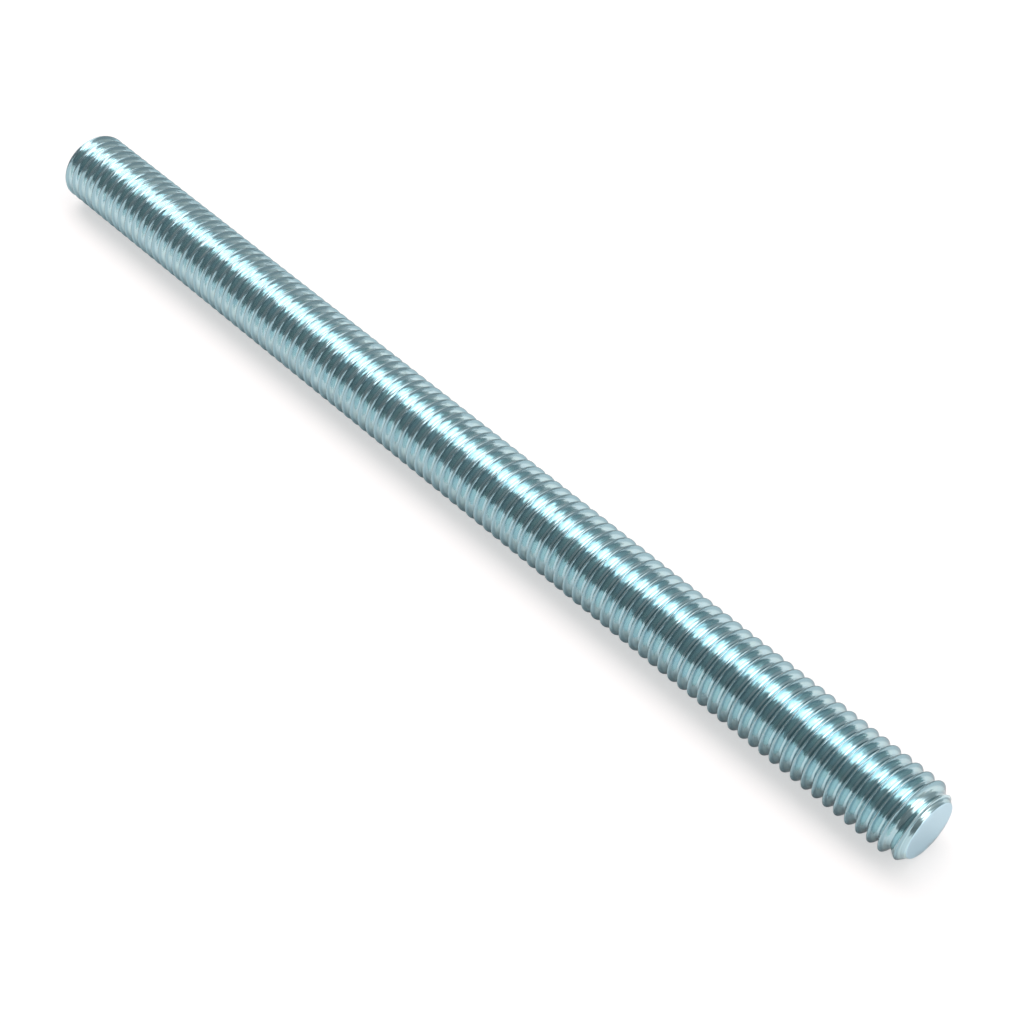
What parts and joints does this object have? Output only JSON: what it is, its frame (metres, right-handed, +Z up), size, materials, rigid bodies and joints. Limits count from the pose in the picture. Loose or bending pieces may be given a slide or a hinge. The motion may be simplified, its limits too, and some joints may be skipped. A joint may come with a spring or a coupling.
{
  "type": "threaded rod",
  "caption": "Straight zinc-plated steel rod with an M8 x 1.25 left-hand thread from end to end and a chamfer at each flat end.",
  "frame": {"origin": "middle of the rod's axis, halfway between its two end faces", "axes": "+X along the rod's axis, +Z up with the rod lying on its side"},
  "size_m": [0.123, 0.008, 0.0078],
  "materials": {
    "zinc_plate": "bright blue-passivated zinc over rolled steel"
  },
  "bodies": {
    "root": {"threaded_rod": "zinc_plate"}
  },
  "joints": []
}
